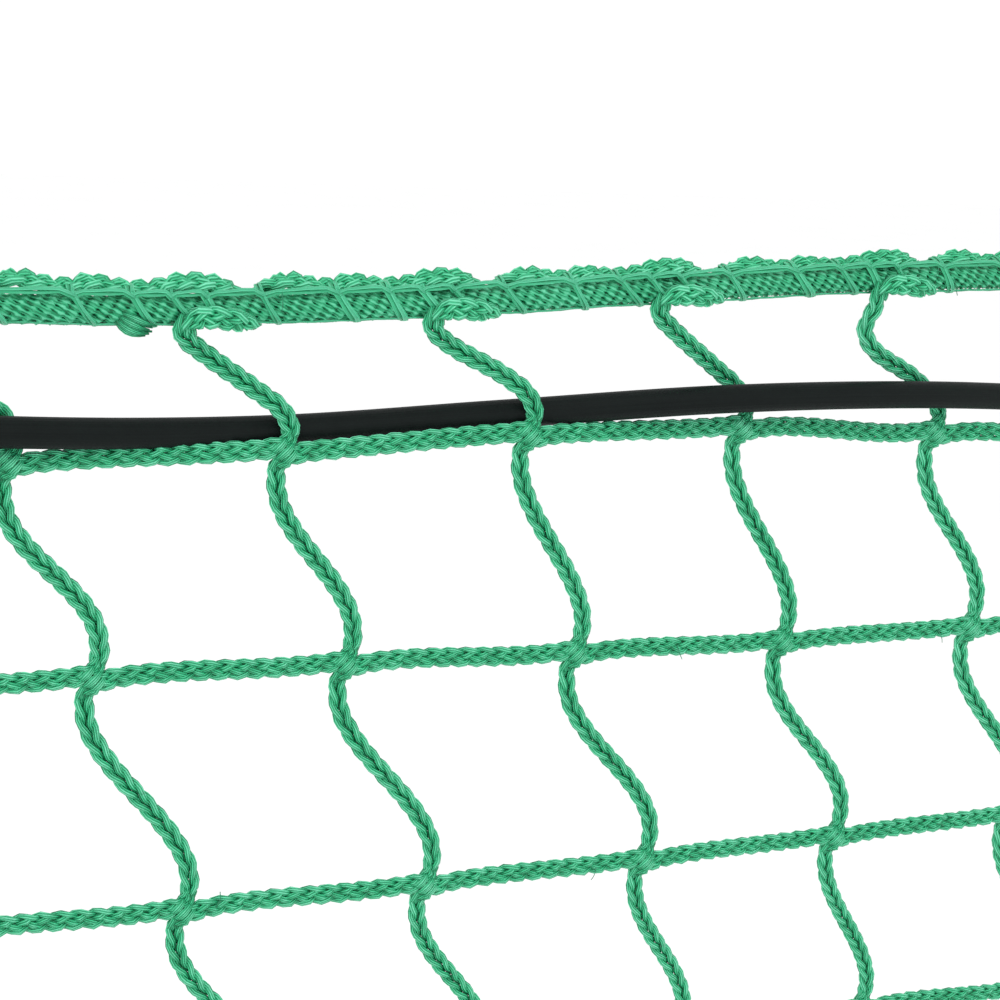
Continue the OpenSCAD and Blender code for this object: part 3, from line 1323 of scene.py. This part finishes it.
    def lay_side(self, row: int, side: int, rope: Piece, twine: Piece, selvedge: Piece) -> None:
        """Lays the rope, twine and selvedge of one side of the net past one row line."""
        route = self.side_rope_route(row, side)
        rope.lay(self.side_rope(round(route.length)), route)
        out = RIGHT * side
        for upper, part in ((row, Part.FIRST_HALF), (row - 1, Part.SECOND_HALF)):
            if not 0 <= upper < self.lattice.rows:
                continue
            ends = [self.lattice.side_place(line, side) for line in (upper, upper + 1)]
            path = self.side_selvedge_route(*ends, out, upper)
            selvedge.lay(self.netting.side_selvedge, path, part)
            first = self.NO_STITCHES if upper == 0 else 0.0
            last = 1.0 - self.NO_STITCHES if upper == self.lattice.rows - 1 else 1.0
            for share in self.stitches:
                if (share < 0.5) == (part is Part.FIRST_HALF) and first <= share <= last:
                    self.stitch(twine, *ends, share, out)

    def side_selvedge_route(
        self, start: np.ndarray, end: np.ndarray, out: np.ndarray, upper: int
    ) -> Route:
        """The selvedge's route along a side, where it lies outside the rope.

        Args:
            start: the place where the row line above meets the side rope.
            end: the same for the row line below.
            out: outwards across the side.
            upper: the number of the row line above.

        Returns:
            The route, which keeps clear of the net's corners and waves a little.
        """
        first = self.NO_CORDS if upper == 0 else 0.0
        last = 1.0 - self.NO_CORDS if upper == self.lattice.rows - 1 else 1.0
        offsets = [
            (share, self.SELVEDGE_OUT + self.SELVEDGE_WAVER * math.cos(5 * math.tau * share), -0.6)
            for share in np.linspace(first, last, 11)
        ]
        points = beside(start, end - start, out, offsets)
        return Route(points, unit(out + FRONT * 0.8), end - start, end - start)

    def stitch(
        self, twine: Piece, start: np.ndarray, end: np.ndarray, share: float, out: np.ndarray
    ) -> None:
        """Lays one wrap of the twine at a share of the way between two knots."""
        along = unit(end - start)
        x, z, s = self.VARIETY
        kind = int(abs(start[0]) * x + abs(start[2]) * z + share * s)
        way = along * self.lean * (0.85 + 0.15 * (kind % 4))
        across = unit(np.cross(np.cross(along, out), along))
        points = beside(start + (end - start) * share, way, across, self.WRAP)
        facings = [unit(across * x + FRONT * y) for _, x, y in self.WRAP]
        twine.lay(self.wraps[kind % len(self.wraps)], Route(points, facings))

    def level_twine(self, row: int, name: str) -> Piece:
        """The twine along the top or bottom edge: wraps, runs between them, and a hem."""
        piece = Piece(name)
        out = UP if row == 0 else -UP
        for column in range(COLUMNS):
            start, end = self.lattice.span(row, column)
            after = self.lattice.knot(row, min(column + 2, COLUMNS))
            last = column == COLUMNS - 1
            stitches = self.stitches[:-1] if last else self.stitches
            for share, following in zip(stitches, self.stitches[1:] + (1.0 + self.stitches[0],)):
                self.stitch(piece, start, end, share, out)
                if last:
                    following = min(following, 1.0 - self.NO_CORDS)
                near = start + (end - start) * share
                if following > 1.0:
                    far = end + (after - end) * (following - 1.0)
                else:
                    far = start + (end - start) * following
                points = beside(near, far - near, out, self.RUN)
                piece.lay(self.run, Route(points, unit(FRONT + out * 0.8)))
            self.lay_hem(piece, column, start, end, out)
        return piece

    def lay_hem(
        self, piece: Piece, column: int, start: np.ndarray, end: np.ndarray, out: np.ndarray
    ) -> None:
        """Lays the twine's straight run along the inner side of the rope, between two knots."""
        first = self.NO_HEM if column == 0 else 0.0
        last = 1.0 - self.NO_HEM if column == COLUMNS - 1 else 1.0
        offsets = [
            (share, -self.HEM_IN - self.HEM_WAVER * math.sin(9 * share + column), 1.2)
            for share in np.linspace(first, last, 5)
        ]
        piece.lay(self.hem, Route(beside(start, end - start, out, offsets), unit(FRONT - out)))


@dataclass
class Elastic:
    """The elastic cord threaded once round through the outermost meshes, and its ferrule."""

    lattice: Lattice
    cover: bpy.types.Material
    metal: bpy.types.Material
    tube: TubeMaker = TubeMaker(radius=2.7, step=2.6, sides=20)
    inset: float = 20.0
    depth: float = 3.3
    corner: float = 9.0
    height: float = 5.4
    rise: Wave = Wave(2.9, 5.4, 10.8)
    still_columns: float = 3.0
    leg_lean: float = 1.0
    bottom_height: float = 6.4
    lap: float = 0.4

    # Angles of a corner's points, from its upright side to its level one
    CORNER_ANGLES = (90.0, 67.5, 45.0, 22.5, 0.0)
    # How far below its fold the bottom run's upright end straightens
    STRAIGHT = 6.0
    # Where the ferrule is crimped, as shares of its length, and how deep and how sharply
    CRIMPS, CRIMP_DEPTH, CRIMP_SHARPNESS = (0.25, 0.5, 0.75), 0.5, 11.0
    # How far the ferrule's lips turn in, and how long they are
    LIP_DEPTH, LIP_LENGTH = 0.45, 0.7

    def side_place(self, row: int, side: int) -> np.ndarray:
        """Where the elastic crosses a row line beside a side rope."""
        place = self.lattice.side_place(row, side) - RIGHT * side * self.inset
        return place + FRONT * self.depth * side * behind(row)

    def side_middle(self, row: int, side: int) -> tuple[np.ndarray, np.ndarray]:
        """The middle of a side stretch in a mesh row, and its direction down."""
        above, below = self.side_place(row - 1, side), self.side_place(row, side)
        return (above + below) / 2, below - above

    def top_place(self, column: int) -> np.ndarray:
        """Where the elastic passes a leg below the top edge."""
        top, knot = self.lattice.knot(0, column), self.lattice.knot(1, column)
        up = self.height + from_sides(column, self.still_columns) * self.rise.at(column)
        place = knot + (top - knot) * (up / (top[2] - knot[2])) - RIGHT * self.leg_lean
        return place - FRONT * self.depth * behind(column)

    def bottom_place(self, column: int) -> np.ndarray:
        """Where the elastic passes a leg above the bottom edge."""
        knot = self.lattice.knot(self.lattice.rows, column)
        return knot + UP * self.bottom_height + FRONT * self.depth * behind(column)

    def build(self) -> None:
        """Makes the elastic as a top piece, side pieces and a bottom piece, and its ferrule."""
        last_fold = self.lattice.rows - 1
        top, bottom = self.level_route(True), self.level_route(False)
        self.lay_piece("elastic_top", [top], ["elastic_top_run"], 1, above=2.0, below=12.0)
        for row in range(2, last_fold):
            routes = [self.side_route(row, side) for side in (-1, 1)]
            self.lay_piece(f"elastic_side_{row:02d}", routes, [f"side_elastic_{row:02d}"], row)
        nodes = ["elastic_bottom_run", f"side_elastic_{last_fold:02d}"]
        self.lay_piece("elastic_bottom", [bottom], nodes, last_fold, below=12.0)
        self.ferrule(bottom)

    def side_route(self, row: int, side: int) -> Route:
        """The route past a row line, from the middle of one mesh row to the middle of the next."""
        start, heading = self.side_middle(row, side)
        end, leaving = self.side_middle(row + 1, side)
        points = [
            start - unit(heading) * self.lap,
            self.side_place(row, side),
            end + unit(leaving) * self.lap,
        ]
        return Route(points, FRONT, heading, leaving)

    def level_route(self, top: bool) -> Route:
        """The route along the top or bottom edge, with its corners and its upright ends."""
        passing = self.top_place if top else self.bottom_place
        places = [passing(column) for column in range(1, COLUMNS)]
        left, heading = self.upright_end(top, -1, places[0][2])
        right, back = self.upright_end(top, 1, places[-1][2])
        return Route(left + places + right[::-1], FRONT, heading, -back)

    def upright_end(
        self, top: bool, side: int, height: float
    ) -> tuple[list[np.ndarray], np.ndarray]:
        """An end of the run along the top or bottom edge, with its corner.

        Args:
            top: whether the run is the top one.
            side: -1 for the left end and 1 for the right.
            height: how high the level part starts.

        Returns:
            The points from the middle of a mesh row to the level part, and their first direction.
        """
        fold = 1 if top else self.lattice.rows - 1
        crossing = self.side_place(fold, side)
        if top:
            middle, down = self.side_middle(fold + 1, side)
            points, heading = [middle], -down
            x, lean, turn = crossing[0], down[0] / down[2], -1
        else:
            middle, heading = self.side_middle(fold, side)
            points = [middle, crossing - UP * self.STRAIGHT]
            x, lean, turn = self.side_place(self.lattice.rows, side)[0], 0.0, 1
        for angle in map(math.radians, self.CORNER_ANGLES):
            across = x - side * self.corner * (1 - math.sin(angle))
            up = height + turn * self.corner * (1 - math.cos(angle))
            points.append(np.array([across + lean * (up - crossing[2]), crossing[1], up]))
        return points, heading

    def lay_piece(
        self, name: str, routes: Sequence[Route], nodes: Sequence[str], fold: int, **bend: float
    ) -> None:
        """Makes a piece of the elastic.

        Args:
            name: the piece's name.
            routes: where its cords go.
            nodes: the frame's nodes that it takes the place of.
            fold: the row line that it lies across.
            bend: distances above and below that line for join_at_fold, where they aren't as usual.
        """
        piece = Piece(name)
        for route in routes:
            piece.lay(self.tube.make(name, route.length), route)
        made = piece.finish(self.cover, Slot.ELASTIC)
        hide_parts(*nodes)
        join_at_fold(made, self.lattice, fold, **bend)

    def ferrule(self, run: Route) -> None:
        """Makes the pressed sleeve round the elastic's ends: a lip at each end and three crimps.

        Args:
            run: the elastic's route along the bottom edge.
        """
        low, high = (np.array(corner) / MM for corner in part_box("elastic_ferrule"))
        length, outer = high[0] - low[0], (high[2] - low[2]) / 2
        middle = run.along[int(np.argmin(np.abs(run.line[:, 0] - (low[0] + high[0]) / 2)))]

        def radius(s: float) -> tuple[float, float]:
            lip = 1.0 - float(smooth(min(s, length - s) / self.LIP_LENGTH))
            crimps = sum(
                math.exp(-(((s / length - share) * self.CRIMP_SHARPNESS) ** 2))
                for share in self.CRIMPS
            )
            size = outer - self.LIP_DEPTH * lip - self.CRIMP_DEPTH * crimps
            return size, size

        yarns = [Yarn(straight, radius)]
        sleeve = Cord("sleeve", length, 0.28, 32, yarns, half_width=outer, half_depth=outer)
        piece = Piece("ferrule_sleeve")
        ends = (middle - length / 2) / run.length, (middle + length / 2) / run.length
        piece.lay(sleeve, run, stretch=ends)
        made = piece.finish(self.metal, Slot.FERRULE)
        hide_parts("elastic_ferrule")
        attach(made, body_name(self.lattice.rows))


@dataclass
class Fray:
    """Fine filaments that stand off the net, and the cut end of a yarn below the top edge."""

    lattice: Lattice
    material: bpy.types.Material
    seed: int = 5
    per_row: int = 9
    above_rope: float = 2.6
    above_cord: float = 0.9
    cut_column: float = 8.86
    cut_strands: int = 6

    def build(self) -> None:
        """Makes one piece for each row line."""
        chance = random.Random(self.seed)
        hair = TubeMaker(radius=0.085, step=1.25, sides=4).make("hair", 5.0)
        for row in range(self.lattice.rows + 1):
            piece = Piece(f"fray_{row:02d}")
            for _ in range(self.per_row):
                piece.lay(hair, self.hair_route(row, chance))
            if row == 0:
                self.lay_cut_yarn(piece)
            join_at_fold(piece.finish(self.material, Slot.NETTING), self.lattice, row)

    def hair_route(self, row: int, chance: random.Random) -> Route:
        """The route of a curled filament that stands off a chance place along a row line."""
        column = chance.uniform(0.3, COLUMNS - 0.3)
        turn = chance.uniform(0.0, math.tau)
        reach = chance.uniform(2.4, 3.6)
        curl = chance.uniform(-1.4, 1.4)
        on_rope = row in (0, self.lattice.rows)
        front = self.above_rope if on_rope else self.above_cord
        foot = self.lattice.knot(row, column) + FRONT * front
        away = RIGHT * math.cos(turn) + UP * math.sin(turn)
        aside = RIGHT * -math.sin(turn) + UP * math.cos(turn)
        points = [
            foot - away * 0.4 - FRONT * 0.4,
            foot + away * reach * 0.55 + FRONT * 0.3 + aside * curl * 0.3,
            foot + away * reach + aside * curl,
        ]
        return Route(points)

    def lay_cut_yarn(self, piece: Piece) -> None:
        """Lays the spread strands of a yarn that is cut off below the top edge rope."""
        strand = GrainMaker(wide=0.55, deep=0.45).make("cut_strand", 6.0)
        foot = self.lattice.knot(0, self.cut_column) + FRONT * 2.4
        for number in range(self.cut_strands):
            spread = (RIGHT * 0.35 + UP * 0.55) * (number - (self.cut_strands - 1) / 2)
            aside = spread + FRONT * (0.5 * (number % 2))
            points = [
                foot - RIGHT * 4.0 - UP * 0.6 - FRONT * 1.1 + aside * 0.4,
                foot - RIGHT * 2.0 - UP * 1.9 - FRONT * 0.2 + aside * 0.8,
                foot - UP * 2.8 + aside * 0.8,
                foot + RIGHT * (1.5 + 0.35 * (number % 3)) - UP * 3.1 + aside * 0.6,
            ]
            piece.lay(strand, Route(points))


# ---------------------------------------------------------------- studio


@dataclass(frozen=True)
class Studio:
    """Camera, soft lights and a pale floor, in metres and degrees but for the camera's place."""

    camera_place_mm: tuple[float, float, float] = (-100.1, -300.6, 37.5)
    yaw: float = 21.2
    pitch: float = 13.3
    roll: float = 3.2
    lens: float = 64.8
    aim: tuple[float, float, float] = (0.0, 0.0, -0.1)
    sky: float = 1.06
    floor_size: float = 14.0
    floor_drop: float = 0.35

    def camera(self) -> None:
        """Places the camera, close in front of the middle of the top edge."""
        data = bpy.data.cameras.new("camera")
        data.lens = self.lens
        data.sensor_width = 36.0
        data.clip_start = 0.01
        data.clip_end = 50.0
        yaw, pitch, roll = (math.radians(a) for a in (self.yaw, self.pitch, self.roll))
        turn = (
            Matrix.Rotation(-yaw, 3, "Z")
            @ Matrix.Rotation(math.pi / 2 - pitch, 3, "X")
            @ Matrix.Rotation(roll, 3, "Z")
        )
        camera = add_object("camera", data)
        place = Vector(self.camera_place_mm) * MM
        camera.matrix_world = Matrix.Translation(place) @ turn.to_4x4()
        bpy.context.scene.camera = camera

    def light(
        self, name: str, place: tuple[float, float, float], size: float, power: float
    ) -> None:
        """A square soft light that points at the top of the net."""
        data = bpy.data.lights.new(name, "AREA")
        data.size = size
        data.energy = power
        light = add_object(name, data)
        light.location = place
        way = Vector(self.aim) - Vector(place)
        light.rotation_euler = way.to_track_quat("-Z", "Y").to_euler()

    def build(self) -> None:
        """Makes the lights, the world and the floor."""
        self.light("key", (-1.1, -2.0, 2.1), size=1.2, power=30.0)
        self.light("fill", (1.8, -1.8, 0.4), size=1.8, power=4.0)
        world = bpy.data.worlds.new("studio")
        world.use_nodes = True
        background = world.node_tree.nodes["Background"]
        background.inputs["Color"].default_value = (1.0, 1.0, 1.0, 1.0)
        background.inputs["Strength"].default_value = self.sky
        bpy.context.scene.world = world
        bpy.context.scene.view_settings.view_transform = "Standard"
        low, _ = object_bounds()
        bm = bmesh.new()
        bmesh.ops.create_grid(bm, x_segments=2, y_segments=2, size=self.floor_size)
        bmesh.ops.translate(bm, vec=(0.0, 0.0, low[2] - self.floor_drop), verts=bm.verts)
        mesh = mesh_of(bm, "floor")
        mesh.materials.append(FloorFinish("pale_floor").build())
        add_object("floor", mesh)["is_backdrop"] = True


def main() -> None:
    """Builds the net and its studio."""
    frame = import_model()
    logging.basicConfig(level=logging.INFO, format="%(name)s %(message)s")
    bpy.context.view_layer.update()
    studio = Studio()
    studio.camera()
    lattice = Lattice.from_frame(frame)
    # Each yarn finish's shadow colour is painted shade, and its light colour is partly a painted
    # highlight
    green = YarnFinish(
        "netting_yarn", shadow=(0.0, 0.24, 0.09), body=(0.042, 0.56, 0.26), light=(0.28, 0.85, 0.59)
    ).build()
    rope_green = YarnFinish(
        "rope_yarn",
        shadow=(0.0, 0.1, 0.03),
        body=(0.022, 0.40, 0.18),
        light=(0.20, 0.76, 0.49),
        strands=4,
        relief=0.0003,
    ).build()
    shiny_green = YarnFinish(
        "binding_film",
        shadow=(0.012, 0.29, 0.12),
        body=(0.045, 0.50, 0.24),
        light=(0.18, 0.74, 0.48),
        roughness=0.26,
        strands=9,
        twist=0.1,
        relief=0.0001,
    ).build()
    netting = Netting(lattice, green)
    netting.build()
    EdgeRope(lattice, netting, rope_green, shiny_green).build()
    Fray(lattice, green).build()
    cover = ElasticFinish("elastic_braid").build()
    metal = MetalFinish("pressed_steel").build()
    Elastic(lattice, cover, metal).build()
    studio.build()


if __name__ == "__main__":
    main()
